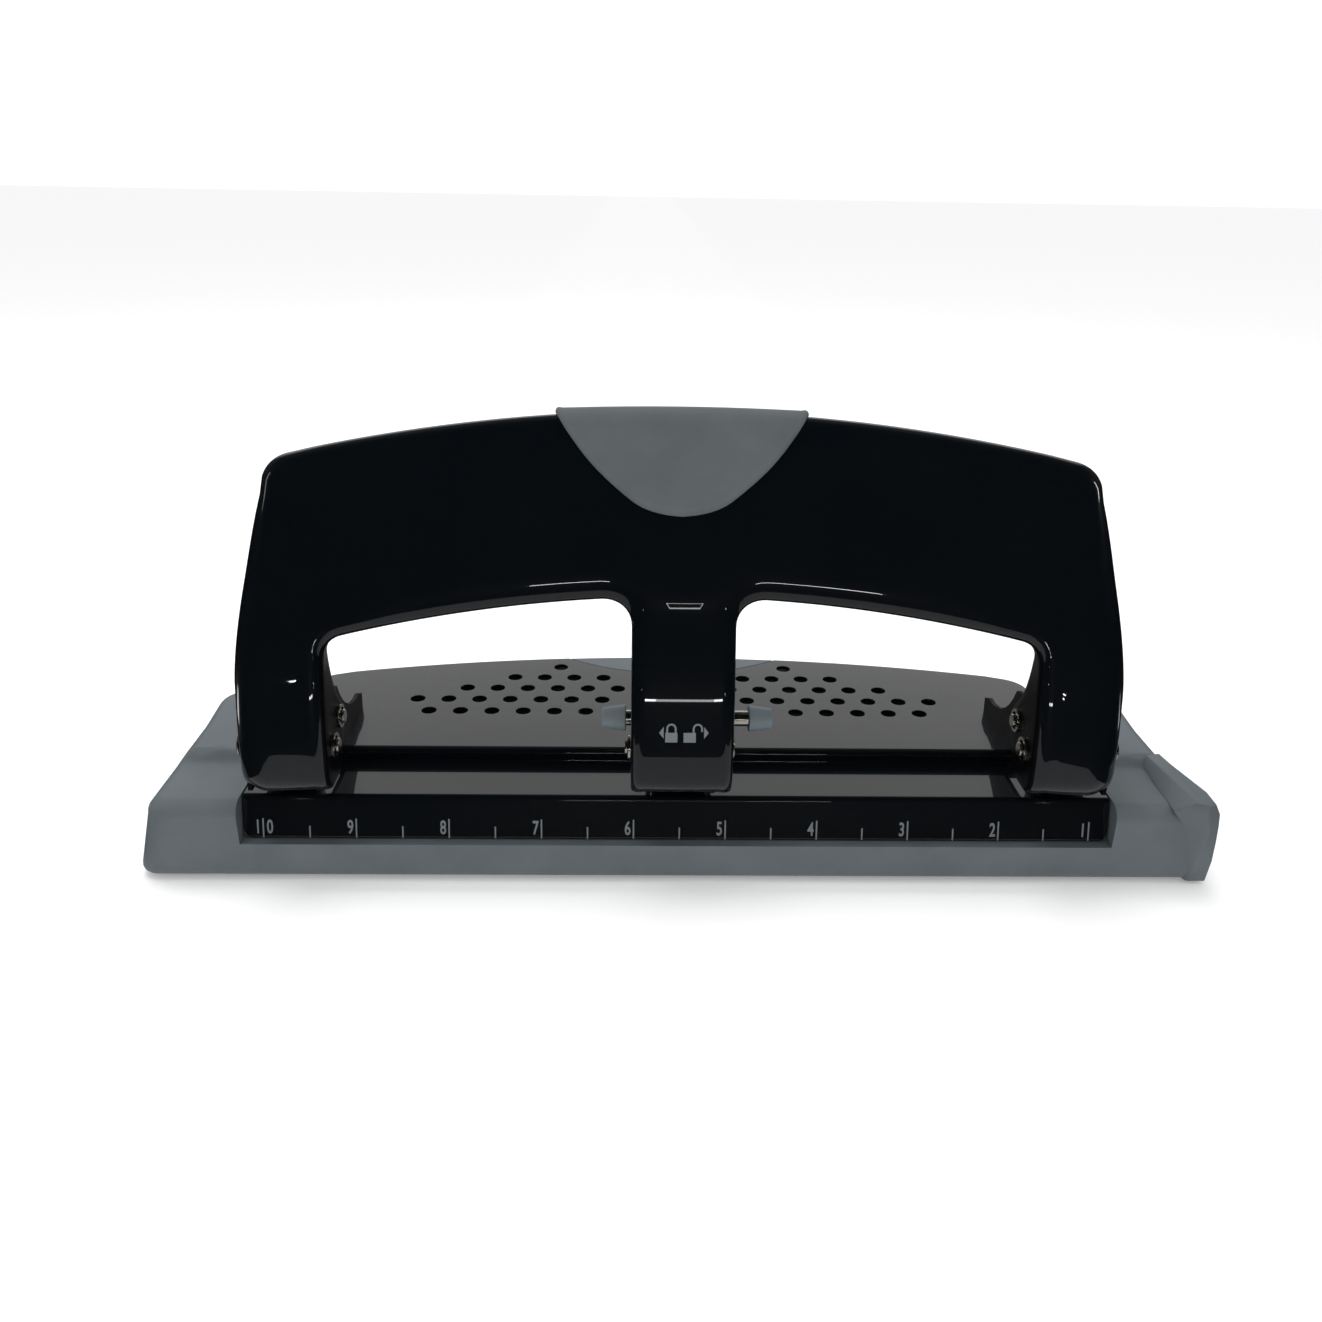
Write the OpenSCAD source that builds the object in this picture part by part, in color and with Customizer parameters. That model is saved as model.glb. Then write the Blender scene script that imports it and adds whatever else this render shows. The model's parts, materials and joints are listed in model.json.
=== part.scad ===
// Three-hole paper punch with a pressed steel lever, three punch heads,
// a perforated steel frame plate and a plastic chip tray that lifts off.
// X runs along the ruler, Y runs from the user to the back, Z is up.
// The origin is under the middle of the punch, on the table.
// Every module below is drawn in "shelf" coordinates: Y = 0 is the ruler
// face and Z = 0 is the paper shelf. at_shelf() moves it to the origin.

/* [Heads and stroke] */
// Distance between neighbouring holes in the paper
hole_pitch = 107.95; // [107:0.05:109]
// Diameter of the cutting punches
punch_d = 7.1; // [6.5:0.1:7.2]
// Distance of the punched holes from the ruler face
punch_y = 11.63; // [11.6:0.01:11.7]
// Angle that the handle turns through in a full stroke
stroke_deg = 45; // [40:1:45]
// Height of the pivot pins above the shelf
pivot_z = 15.7; // [15.6:0.1:15.8]
// Distance of the pivot pins behind the ruler face
pivot_y = 2.8; // [2.7:0.1:2.9]
// Distance of the drive pins from the pivot pins
crank_r = 9.45; // [9.4:0.05:9.5]
// Angle of the crank above level at rest
crank_deg = 29.8; // [29:0.1:30.5]

/* [Pins and locking bolt] */
// Diameter of the pivot pins
pivot_d = 4.0; // [3.8:0.1:4.2]
// Diameter of the drive pins, and of the neck of the locking bolt
drive_d = 3.6; // [3.4:0.1:3.6]
// Diameter of the thick stretches of the locking bolt
bolt_d = 4.3; // [4.2:0.1:4.4]
// Sideways travel of the locking bolt
lock_travel = 3.7; // [3.5:0.1:3.7]
// Radial clearance of every running fit
fit_gap = 0.05; // [0.02:0.01:0.08]

/* [Frame plate] */
// Half of the length of the ruler face and shelf
shelf_half = 119.7; // [119:0.1:120]
// Half of the length of the raised deck
deck_half = 115.5; // [115:0.1:116]
// Thickness of the steel plate
plate_t = 1.2; // [1:0.1:1.3]
// Height of the ruler face
ruler_h = 11.7; // [11:0.1:12]
// Distance of the paper stop behind the ruler face
stop_y = 22.6; // [22.4:0.1:22.8]
// Height of the raised deck above the shelf
deck_z = 4.25; // [4.2:0.05:4.4]
// Furthest point of the curved back edge
back_y = 90; // [89:0.5:91]
// Radius of the curved back edge
back_r = 411; // [400:1:420]
// Distance between neighbouring chip holes in a row
perf_pitch = 9.65; // [9.6:0.05:9.8]
// Diameter of the chip holes
perf_d = 4.5; // [4:0.1:5]

/* [Chip tray] */
// Height of the shelf above the table
shelf_z = 24; // [23.5:0.1:25]
// Half of the length of the tray at the table
tray_foot_half = 150; // [149:0.5:151]
// Half of the length of the tray at shelf height
tray_top_half = 144.2; // [144:0.1:144.6]
// How far the tray stands in front of the ruler face
tray_lip = 2.8; // [2.5:0.1:3]
// Height of the raised back level of the tray above the shelf
tray_back_z = 2.8; // [2.6:0.1:3]
// Wall thickness of the tray
tray_wall = 2.5; // [2:0.1:3]

/* [Handle] */
// Thickness of the pressed steel handle
handle_t = 1.3; // [1.2:0.1:1.4]
// Height of the crest of the handle above the shelf
crest_z = 101.8; // [101.4:0.1:102]
// Half of the width over the outer legs
handle_half = 117.5; // [117.4:0.1:118.2]
// Distance of the inner faces of the outer legs from the middle
leg_inner = 93.2; // [93:0.1:93.4]
// Half of the width of the middle leg
mid_leg_half = 13.6; // [13.5:0.1:13.8]
// Half of the width of the soft grip insert
grip_half = 32; // [30:0.5:34]
// Height of the soft grip insert
grip_h = 25; // [23:0.5:27]

/* [Hidden] */

$fn = 48;
eps = 0.01;
enamel = "#0b0d10";
grey = "#5f676b";
soft_grey = "#565d60";
steel = "#c9c6bd";
knob_grey = "#66717a";
rubber_black = "#1b1b1c";

// heads: side is -1 for the left, 0 for the middle and 1 for the right
function head_x(side) = side * hole_pitch;
drive_y = pivot_y + crank_r * cos(crank_deg);
drive_z = pivot_z + crank_r * sin(crank_deg);
end_y = pivot_y + crank_r * cos(crank_deg - stroke_deg);
end_z = pivot_z + crank_r * sin(crank_deg - stroke_deg);

// front of the handle: an easy S that curls in at the feet of its legs
nose_y = -7;
nose_z = 11;
foot_z = 5.5;
lean = 0.0341;
curl = 0.083;
function web_y(z) = z > nose_z
    ? nose_y + lean * pow(z - nose_z, 1.5)
    : nose_y + curl * pow(nose_z - z, 2);
mid_y = (nose_y + back_y) / 2;

module at_shelf() translate([0, -mid_y, shelf_z]) children();

// a Y-Z outline drawn from x0 to x1
module along_x(x0, x1) translate([x0, 0, 0])
    rotate([90, 0, 90]) linear_extrude(x1 - x0) children();

// an X-Z outline drawn from y0 to y1
module along_y(y0, y1) translate([0, y1, 0])
    rotate([90, 0, 0]) linear_extrude(y1 - y0) children();

// a round bar or bore along X
module bar_x(d, x0, x1, y, z) translate([x0, y, z])
    rotate([0, 90, 0]) cylinder(d = d, h = x1 - x0);

function arc(cx, cy, r, a0, a1, steps) = [for (i = [0:steps])
    let (a = a0 + (a1 - a0) * i / steps) [cx + r * cos(a), cy + r * sin(a)]];
function mirrored(points) = [for (i = [len(points) - 1:-1:0])
    [-points[i][0], points[i][1]]];

// ---------------------------------------------------------------- tray
tray_floor_z = -23.2;
foot_proud = shelf_z + tray_floor_z;
back_corner_r = 14;
plate_gap = 0.4;
function back_edge_y(x) = back_y - back_r + sqrt(pow(back_r, 2) - pow(x, 2));

// plan of the tray: straight front, drafted sides, curved back edge
module tray_plan(half, front_y, back_in) {
    front_r = 5.5;
    side = arc(half - front_r, front_y + front_r, front_r, -90, 0, 6);
    back = [for (i = [0:12]) let (x = (half - back_corner_r) * (1 - i / 12))
        [x, back_edge_y(x) - back_in]];
    corner = [[half, back_edge_y(half) - back_in - 9]];
    right = concat(side, corner, back);
    polygon(concat(right, mirrored(right)));
}

fence_inner = 136.8;
fence_front_y = -6.3;
fence_height = 3.2;
module fence() hull() {
    translate([0, 0, tray_floor_z]) linear_extrude(eps)
        polygon([[142.5, -tray_lip], [148.5, -tray_lip], [149, 10], [141, 10]]);
    translate([0, 0, fence_height - eps]) linear_extrude(eps)
        polygon([[fence_inner, 21], [141.4, 21], [145.8, 1.3], [145.6, -5.2],
            [143.5, fence_front_y], [140.6, fence_front_y]]);
}

// channel in which the plate sits, with ledges below it
lip_r = 2.8;
lip_lean = 11.7;
step_y = stop_y + 2;
above = 30;
clear_back = 100;
module plate_seat() {
    wide = shelf_half + plate_gap;
    narrow = deck_half + plate_gap;
    seat_drop = plate_t + 0.15;
    wall_y = plate_t + plate_gap;
    wall_top_y = wall_y + (ruler_h - lip_r) * tan(lip_lean);
    along_x(-wide, wide) polygon([[-10, -ruler_h - plate_gap],
        [wall_y, -ruler_h - plate_gap], [wall_top_y, -lip_r],
        [wall_top_y + lip_r / 2, -seat_drop],
        [step_y, -seat_drop], [step_y, above], [-10, above]]);
    along_x(-narrow, narrow) polygon([[0, deck_z - seat_drop],
        [clear_back, deck_z - seat_drop], [clear_back, above], [0, above]]);
}

bin_half = 113;
bin_front_y = 5.5;
bin_back_in = 4;
module chip_bin() translate([0, 0, tray_floor_z + tray_wall]) linear_extrude(60)
    intersection() {
        tray_plan(bin_half + 25, bin_front_y, bin_back_in);
        translate([-bin_half, 0]) square([2 * bin_half, clear_back]);
    }

// hollow wings on either side of the chip bin, open to the table
module wing_pocket() translate([0, 0, tray_floor_z - 1])
    linear_extrude(1 - tray_floor_z - 4) intersection() {
        tray_plan(tray_top_half - tray_wall, 1, 2 * tray_wall);
        translate([bin_half + tray_wall, 0]) square([60, clear_back]);
    }

module foot_places() for (x = [-98, 98], y = [12, 62]) translate([x, y, 0])
    children();
foot_d = 12;
foot_recess = 0.7;

rim_in = 1;
step_in = 2.8;
module tray() at_shelf() color(grey) difference() {
    union() {
        hull() {
            translate([0, 0, tray_floor_z]) linear_extrude(eps)
                tray_plan(tray_foot_half, -tray_lip, rim_in);
            translate([0, 0, -eps]) linear_extrude(eps)
                tray_plan(tray_top_half, -tray_lip, rim_in);
        }
        intersection() {
            translate([0, 0, -eps]) linear_extrude(tray_back_z + eps)
                tray_plan(tray_top_half - step_in, -tray_lip, rim_in);
            along_x(-tray_foot_half, tray_foot_half)
                polygon([[step_y - 4, -1], [step_y - 4, 0],
                [step_y, tray_back_z], [clear_back, tray_back_z],
                [clear_back, -1]]);
        }
        fence();
    }
    plate_seat();
    chip_bin();
    wing_pocket();
    mirror([1, 0, 0]) wing_pocket();
    foot_places() translate([0, 0, tray_floor_z - eps])
        cylinder(d = foot_d, h = foot_recess + eps);
}

// lens of plastic that fills the scallop in the back of the deck
tab_half = 35;
tab_front_y = 76.5;
tab_r = (pow(tab_half, 2) + pow(88.5 - tab_front_y, 2))
    / (2 * (88.5 - tab_front_y));
tab_t = 1.4;
tab_stem_y = 81.5;
module scallop(gap) translate([0, tab_front_y + tab_r + gap])
    circle(r = tab_r, $fn = 96);
module release_tab() at_shelf() color(soft_grey) difference() {
    union() {
        translate([0, 0, tray_back_z]) linear_extrude(tab_t) intersection() {
            scallop(plate_gap);
            translate([0, back_y - back_r]) circle(r = back_r, $fn = 360);
        }
        translate([-12, tab_stem_y, -8]) cube([24, 4, 8 + tray_back_z]);
    }
    translate([-6, tab_stem_y - 1, -6]) cube([12, 6, 2]);
}

module rubber_feet() at_shelf() color(rubber_black) foot_places()
    translate([0, 0, -shelf_z]) cylinder(d = foot_d - 0.4,
        h = foot_proud + foot_recess);

// --------------------------------------------------------- frame plate
module plate_section() {
    bend_r = 1.7;
    step_c = stop_y + bend_r;
    lip_y = (ruler_h - lip_r + lip_r * sin(lip_lean)) * tan(lip_lean)
        + lip_r * cos(lip_lean);
    polygon(concat([[0, -ruler_h]],
        arc(lip_y, -lip_r, lip_r, 180 - lip_lean, 90, 6), [[stop_y, 0]],
        arc(step_c, deck_z - bend_r, bend_r, 180, 90, 4),
        [[clear_back, deck_z], [clear_back, deck_z - plate_t]],
        arc(step_c, deck_z - bend_r, bend_r - plate_t, 90, 180, 4),
        [[stop_y + plate_t, -plate_t]],
        arc(lip_y, -lip_r, lip_r - plate_t, 90, 180 - lip_lean, 6),
        [[plate_t / cos(lip_lean), -ruler_h]]));
}

module plate_plan() {
    rear_r = 9;
    corner_y = back_edge_y(deck_half) - rear_r + 1.5;
    corner = arc(deck_half - rear_r, corner_y, rear_r, 0, 72, 6);
    back = [for (i = [0:14]) let (x = (deck_half - rear_r) * (1 - i / 14))
        [x, back_edge_y(x)]];
    right = concat([[shelf_half, -1], [shelf_half, step_y],
        [deck_half, step_y + 0.1]], corner, back);
    polygon(concat(right, mirrored(right)));
}

// rows of chip holes: first column, in pitches from the middle, and count
perf_rows = [[2.87, 6], [2.37, 7], [1.87, 6], [2.37, 4], [3.87, 1]];
perf_y = 47.6;
module perforations() for (side = [-1, 1], row = [0:4],
        i = [0:perf_rows[row][1] - 1])
    translate([side * (perf_rows[row][0] + i) * perf_pitch,
        perf_y + row * perf_pitch * sin(60), 0])
        cylinder(d = perf_d, h = 20, $fn = 24);

rivet_d = 3.2;
rivet_ys = [31, 43];
module frame_plate() at_shelf() color(enamel) difference() {
    intersection() {
        along_x(-shelf_half, shelf_half) plate_section();
        translate([0, 0, -20]) linear_extrude(40) plate_plan();
    }
    perforations();
    translate([0, 0, -10]) linear_extrude(30) scallop(0);
    for (side = [-1:1]) translate([head_x(side), 0, 0]) {
        translate([0, punch_y, -5]) cylinder(d = punch_d + 2 * fit_gap, h = 10);
        for (y = rivet_ys) translate([0, y, 0]) cylinder(d = rivet_d, h = 10);
    }
}

// --------------------------------------------------------- punch heads
cheek_t = 1.2;
floor_z = deck_z + cheek_t;
deck_front_y = stop_y + 1.7;
bracket_back_y = 50;

// half widths: the middle head is symmetric, and an outer head is wider
// toward the middle than toward its end of the punch
middle_half = 9.2;
near_half = 11.2;
far_half = 8;
function cheek_left(side) = side == 0 ? -middle_half
    : side < 0 ? -far_half : -near_half;
function cheek_right(side) = -cheek_left(-side);
function tongue_half(side) = (side == 0 ? middle_half : far_half) - cheek_t - 0.4;

// side of the bracket: a boot whose toe points back along the deck
module cheek_outline() polygon(concat(
    [[bracket_back_y, deck_z], [50.5, 8.6], [47, 10]],
    arc(45, 33, 23, 275, 205, 7), [[18, 25], [12, 26.6], [4, 24],
    [-0.5, 19], [-1.8, 12], [-2, deck_z]]));

// slot of the drive pin, an arc about the pivot with round ends
module drive_slot() {
    half_w = drive_d / 2 + 0.25;
    low = crank_deg - stroke_deg;
    polygon(concat(
        arc(pivot_y, pivot_z, crank_r + half_w, low, crank_deg, 10),
        arc(drive_y, drive_z, half_w, crank_deg + 20, crank_deg + 160, 7),
        arc(pivot_y, pivot_z, crank_r - half_w, crank_deg, low, 8),
        arc(end_y, end_z, half_w, low + 200, low + 340, 7)));
}

module bracket(side) at_shelf() color(enamel) translate([head_x(side), 0, 0])
difference() {
    left = cheek_left(side);
    right = cheek_right(side);
    half = tongue_half(side);
    union() {
        for (x = [left, right - cheek_t]) along_x(x, x + cheek_t) cheek_outline();
        translate([left, deck_front_y, deck_z])
            cube([right - left, bracket_back_y - deck_front_y, cheek_t]);
        translate([-half, 0.5, deck_z])
            cube([2 * half, deck_front_y - 0.5, cheek_t]);
    }
    translate([0, punch_y, 0]) cylinder(d = punch_d + 2 * fit_gap, h = 10);
    for (y = rivet_ys) translate([0, y, 0]) cylinder(d = rivet_d, h = 10);
    bar_x(pivot_d, -20, 20, pivot_y, pivot_z);
    along_x(-20, 20) drive_slot();
    if (side == 0) {
        bar_x(bolt_d + 4 * fit_gap, -20, 20, drive_y, drive_z);
        bar_x(bolt_d + 4 * fit_gap, -20, 20, end_y, end_z);
    }
}

module bracket_rivets() at_shelf() color(steel)
    for (side = [-1:1], y = rivet_ys) translate([head_x(side), y, 0]) {
        under_z = deck_z - plate_t;
        translate([0, 0, under_z - 0.9]) cylinder(d = 5, h = 0.9);
        translate([0, 0, under_z]) cylinder(d = rivet_d, h = floor_z - under_z);
        translate([0, 0, floor_z]) cylinder(d1 = 5.6, d2 = 4, h = 1);
    }

guide_h = 5.6;
module punch_guide(side) at_shelf() color(steel)
    translate([head_x(side), 0, floor_z]) difference() {
        half = tongue_half(side);
        translate([-half, 5, 0]) cube([2 * half, 13.4, guide_h]);
        translate([0, punch_y, -1])
            cylinder(d = punch_d + 2 * fit_gap, h = guide_h + 2);
    }

// cutting punch: notched tip, cross slot for the drive pin near its top
punch_tip_z = 4.7;
punch_top_z = 25.2;
punch_slot_h = 3.9;
punch_slot_l = 4.96;
module punch(side) at_shelf() color(steel) translate([head_x(side), 0, 0])
    difference() {
        translate([0, punch_y, punch_tip_z])
            cylinder(d = punch_d, h = punch_top_z - punch_tip_z);
        bar_x(9, -9, 9, punch_y, punch_tip_z - 3.5);
        translate([-9, punch_y - punch_slot_l / 2, drive_z - punch_slot_h / 2])
            cube([18, punch_slot_l, punch_slot_h]);
    }

// a shouldered pin along X: head on one end, clip groove near the other
pin_head_t = 0.5;
clip_t = 0.7;
groove_cut = 0.7;
module grooved_pin(d, tail, head, y, z) {
    out = sign(head - tail);
    lo = min(tail, head);
    hi = max(tail, head);
    difference() {
        union() {
            bar_x(d, lo, hi, y, z);
            bar_x(d + 2.4, min(head, head + out * pin_head_t),
                max(head, head + out * pin_head_t), y, z);
        }
        difference() {
            bar_x(d + 1, min(tail + out * 0.8, tail + out * 1.5),
                max(tail + out * 0.8, tail + out * 1.5), y, z);
            bar_x(d - groove_cut, lo, hi, y, z);
        }
    }
}

// where the pins end: the clip sits just outside the inner flange
side_gap = 0.12;
inner_face = leg_inner - side_gap - 1.5;
outer_face = handle_half + side_gap;
mid_face = mid_leg_half + side_gap;
module pivot_pin(side) at_shelf() color(steel) if (side == 0)
    grooved_pin(pivot_d, -mid_face - 1.5, mid_face, pivot_y, pivot_z);
else
    grooved_pin(pivot_d, side * inner_face, side * outer_face,
        pivot_y, pivot_z);

module drive_pin(side) at_shelf() color(steel)
    grooved_pin(drive_d, side * inner_face, side * outer_face,
        drive_y, drive_z);

// open retaining ring in a pin's groove, starting at x and one clip thick
module clip(d, x, y, z, turn) translate([x, y, z]) rotate([0, 90, 0])
    rotate(turn) difference() {
        cylinder(d = d + 3.4, h = clip_t);
        translate([0, 0, -1]) cylinder(d = d - groove_cut, h = 3);
        translate([0, -(d - groove_cut) / 2, -1])
            cube([10, d - groove_cut, 3]);
    }

clip_x = leg_inner - side_gap - clip_t;
module pivot_clips() at_shelf() color(steel) {
    clip(pivot_d, -clip_x - clip_t, pivot_y, pivot_z, 0);
    clip(pivot_d, clip_x, pivot_y, pivot_z, 0);
    clip(pivot_d, -mid_face - clip_t, pivot_y, pivot_z, 0);
}

module drive_clips() at_shelf() color(steel) {
    clip(drive_d, -clip_x - clip_t, drive_y, drive_z, 180);
    clip(drive_d, clip_x, drive_y, drive_z, 180);
}

// torsion spring on the pivot pin: closed coils and the arm on the floor
spring_wire = 0.9;
spring_coils = 12;
spring_arm = 6;
spring_r = pivot_d / 2 + 0.35 + spring_wire / 2;
module return_spring(side) at_shelf() color(steel)
    translate([head_x(side), pivot_y, pivot_z]) {
        half = spring_coils * spring_wire / 2;
        rotate([0, 90, 0]) translate([0, 0, -half])
            difference() {
                cylinder(r = spring_r + spring_wire / 2, h = 2 * half);
                translate([0, 0, -1])
                    cylinder(r = spring_r - spring_wire / 2, h = 2 * half + 2);
            }
        translate([half - spring_wire / 2, 0, -spring_r]) rotate([-90, 0, 0])
            cylinder(d = spring_wire, h = spring_arm);
    }

// -------------------------------------------------------------- handle
crest_r = 480;
side_straight_z = 34;
side_rise = 49;
side_lean = 8.9;
corner_r = 9.5;
corner_x = 99.4;
corner_z = 81.8;
crest_end = 101;
function side_x(z) = handle_half
    - side_lean * pow(max(0, z - side_straight_z) / side_rise, 1.5);
window_top_z = 58;
window_r = 385;
arch_r = 7.5;
knee_r = 6.5;
knee_x = leg_inner - knee_r;
function crest(x) = crest_z - pow(x, 2) / (2 * crest_r);
function window_z(x) = window_top_z - pow(x, 2) / (2 * window_r);

// front view of the handle, with every edge moved in by inset
module handle_face(inset) difference() {
    right = concat(
        [[handle_half - inset, -9]],
        [for (z = [side_straight_z:7:side_straight_z + side_rise - 1])
            [side_x(z) - inset, z]],
        arc(corner_x, corner_z, corner_r - inset, 15, 78, 6),
        [for (i = [0:12]) let (x = crest_end * (1 - i / 12))
            [x, crest(x) - inset]]);
    polygon(concat(right, mirrored(right)));
    window(inset);
    mirror([1, 0]) window(inset);
}

module window(inset) polygon(concat(
    [[mid_leg_half - inset, -10]],
    arc(mid_leg_half + arch_r, window_z(mid_leg_half + arch_r) - arch_r,
        arch_r + inset, 180, 88, 6),
    [for (x = [27:6:81]) [x, window_z(x) + inset]],
    arc(knee_x, window_z(knee_x) - knee_r - 0.2, knee_r + inset, 77, 0, 6),
    [[leg_inner + inset, -10]]));

// side view of the handle: the front sheet and the depth of its flanges
heel = [[16.6, 20.6], [16.4, 18.2], [15.2, 15.2], [13.2, 12.8], [10.8, 10],
    [8, 6.8], [4.5, foot_z]];
boot_top = [[5.6, 46], [5.8, 42], [6.4, 38], [7.4, 34], [9, 30],
    [11, 27], [14, 24]];
rim_depth = 12.5;
module handle_side() polygon(concat(
    [for (z = [foot_z, 7.3, 9.1, nose_z]) [web_y(z), z]],
    [for (z = [17:6:107]) [web_y(z), z]],
    [for (z = [107:-6:59]) [web_y(z) + rim_depth + (107 - z) * 0.01, z]],
    boot_top, heel));

module handle_hollow() polygon(concat(
    [[web_y(foot_z) + handle_t + 0.3, -8]],
    [for (z = [foot_z, 7.3, 9.1, nose_z]) [web_y(z) + handle_t + 0.1, z]],
    [for (z = [17:6:107]) [web_y(z) + handle_t + 0.1, z]],
    [[70, 107], [70, -8]]));

module handle_block() intersection() {
    along_y(-20, 60) handle_face(0);
    along_x(-130, 130) handle_side();
}

module handle() at_shelf() color(enamel) difference() {
    handle_block();
    intersection() {
        along_y(-20, 80) handle_face(handle_t);
        along_x(-130, 130) handle_hollow();
    }
    bar_x(pivot_d + 2 * fit_gap, -130, 130, pivot_y, pivot_z);
    for (side = [-1, 1])
        bar_x(drive_d, min(side * 80, side * 130), max(side * 80, side * 130),
            drive_y, drive_z);
    bar_x(bolt_d + 2 * fit_gap, -20, 20, drive_y, drive_z);
}

// soft insert: a half shield on the front that wraps over the crest
grip_proud = 0.8;
grip_rise = 1.1;
module grip_face() polygon(concat(
    [for (i = [-12:12]) let (x = grip_half * i / 12)
        [x, crest_z + grip_rise - grip_h
            + grip_h * pow(abs(i / 12), 2.25)]],
    [[grip_half, crest_z + 10], [-grip_half, crest_z + 10]]));
module grip_side() polygon(concat(
    [for (z = [60:6:102]) [web_y(z) - grip_proud, z]],
    [[web_y(crest_z) - 0.2, crest_z + grip_rise - 0.6],
    [web_y(crest_z) + 1, crest_z + grip_rise],
    [web_y(crest_z) + rim_depth - 1, crest_z + grip_rise],
    [web_y(crest_z) + rim_depth, crest_z + grip_rise - 1],
    [web_y(crest_z) + rim_depth, crest_z - 6],
    [web_y(crest_z) + rim_depth - 4, crest_z - 6],
    [web_y(62) + rim_depth - 6, 60]]));
module grip_insert() at_shelf() color(soft_grey) difference() {
    intersection() {
        along_y(-20, 60) grip_face();
        along_x(-40, 40) grip_side();
    }
    handle_block();
    along_x(-41, 41) handle_hollow();
}

// locking bolt: thin where it crosses the bracket and punch when free
bolt_left = -21;
bolt_right = 25;
module bolt_neck(x0, x1) difference() {
    bar_x(bolt_d + 1, x0, x1, drive_y, drive_z);
    bar_x(drive_d, x0 - 1, x1 + 1, drive_y, drive_z);
}
module lock_bolt() at_shelf() color(steel) difference() {
    bar_x(bolt_d, bolt_left, bolt_right, drive_y, drive_z);
    bolt_neck(-10.4, -7.2);
    bolt_neck(-3.9, 10.3);
}

knob_l = 6.6;
knob_big = 7.4;
knob_small = 5.6;
module lock_knob(x0, d0, d1) at_shelf() color(knob_grey) difference() {
    translate([x0, drive_y, drive_z]) rotate([0, 90, 0])
        cylinder(d1 = d0, d2 = d1, h = knob_l);
    bar_x(bolt_d, bolt_left, bolt_right, drive_y, drive_z);
}
module lock_knob_left() lock_knob(-21.6, knob_small, knob_big);
module lock_knob_right() lock_knob(18.6, knob_big, knob_small);

tray();
release_tab();
rubber_feet();
frame_plate();
bracket(-1);  // bracket_left
bracket(0);  // bracket_middle
bracket(1);  // bracket_right
bracket_rivets();
punch_guide(-1);  // punch_guide_left
punch_guide(0);  // punch_guide_middle
punch_guide(1);  // punch_guide_right
punch(-1);  // punch_left
punch(0);  // punch_middle
punch(1);  // punch_right
pivot_pin(-1);  // pivot_pin_left
pivot_pin(0);  // pivot_pin_middle
pivot_pin(1);  // pivot_pin_right
pivot_clips();
return_spring(-1);  // return_spring_left
return_spring(0);  // return_spring_middle
return_spring(1);  // return_spring_right
handle();
grip_insert();
drive_pin(-1);  // drive_pin_left
drive_pin(1);  // drive_pin_right
drive_clips();
lock_bolt();
lock_knob_left();
lock_knob_right();
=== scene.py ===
"""Looks of the three-hole paper punch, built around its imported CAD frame.

Lengths are millimetres in shelf coordinates: Y = 0 is the foot of the ruler
face and Y grows to the back, Z = 0 is the paper shelf, and X = 0 is the middle
head. place() turns them into metres in the CAD's own frame.
"""
import json
import math

import bmesh
import bpy
from mathutils import Matrix, Vector
from mathutils.geometry import delaunay_2d_cdt


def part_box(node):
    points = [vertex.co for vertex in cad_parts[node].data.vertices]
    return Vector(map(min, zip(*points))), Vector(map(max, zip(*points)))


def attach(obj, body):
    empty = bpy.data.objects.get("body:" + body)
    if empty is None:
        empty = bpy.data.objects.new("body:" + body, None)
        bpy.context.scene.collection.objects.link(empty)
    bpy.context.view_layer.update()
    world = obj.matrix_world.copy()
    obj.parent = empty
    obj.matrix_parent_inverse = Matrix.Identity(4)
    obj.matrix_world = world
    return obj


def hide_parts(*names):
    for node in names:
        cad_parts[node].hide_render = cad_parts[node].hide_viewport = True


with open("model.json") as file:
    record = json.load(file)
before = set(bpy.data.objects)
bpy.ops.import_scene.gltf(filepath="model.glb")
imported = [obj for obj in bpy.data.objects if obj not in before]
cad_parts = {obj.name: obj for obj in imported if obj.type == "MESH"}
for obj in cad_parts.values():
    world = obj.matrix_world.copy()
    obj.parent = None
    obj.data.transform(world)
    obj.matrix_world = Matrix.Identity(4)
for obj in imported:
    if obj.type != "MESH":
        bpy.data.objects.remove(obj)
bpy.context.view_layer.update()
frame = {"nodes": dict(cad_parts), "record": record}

MM = 0.001

# ---- dimensions
DECK_Z = 4.25
PLATE_T = 1.2
RULER_H = 11.7
STOP_Y, DECK_FRONT = 22.6, 24.6
SHELF_HALF = 119.7
DECK_HALF = 115.5
BACK_Y = 90.0
BACK_R = 411.0
HOLE_PITCH = 107.95
PUNCH_Y, DIE_D = 11.63, 7.4
INCH = 25.4
FENCE_X = 139.7

PIVOT = (2.8, 15.7)
DRIVE = (11.0, 20.4)
LEG_INNER = 93.2
HANDLE_HALF = 117.5
MID_LEG = 13.6
HANDLE_T = 1.3

TRAY_FLOOR = -23.2
TRAY_FOOT_HALF = 150.0
TRAY_TOP_HALF = 144.2
TRAY_LIP = 2.8
TRAY_BACK_Z = 2.8

# where the shelf coordinates start, read from the CAD frame plate
_plate_low, _plate_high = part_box("frame_plate")
ORIGIN = Vector((0, _plate_low.y, _plate_high.z - DECK_Z * MM))


def place(x, y, z):
    """A point in shelf millimetres, as metres in the CAD's frame."""
    return ORIGIN + Vector((x, y, z)) * MM


# ---- materials
def new_material(name, base, roughness, metallic=0.0):
    """A Principled material and the node tree's handy parts."""
    mat = bpy.data.materials.new(name)
    mat.use_nodes = True
    nodes = mat.node_tree.nodes
    shader = nodes["Principled BSDF"]
    shader.inputs["Base Color"].default_value = (*base, 1)
    shader.inputs["Roughness"].default_value = roughness
    shader.inputs["Metallic"].default_value = metallic
    coords = nodes.new("ShaderNodeTexCoord")
    return mat, mat.node_tree, shader, coords


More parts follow.
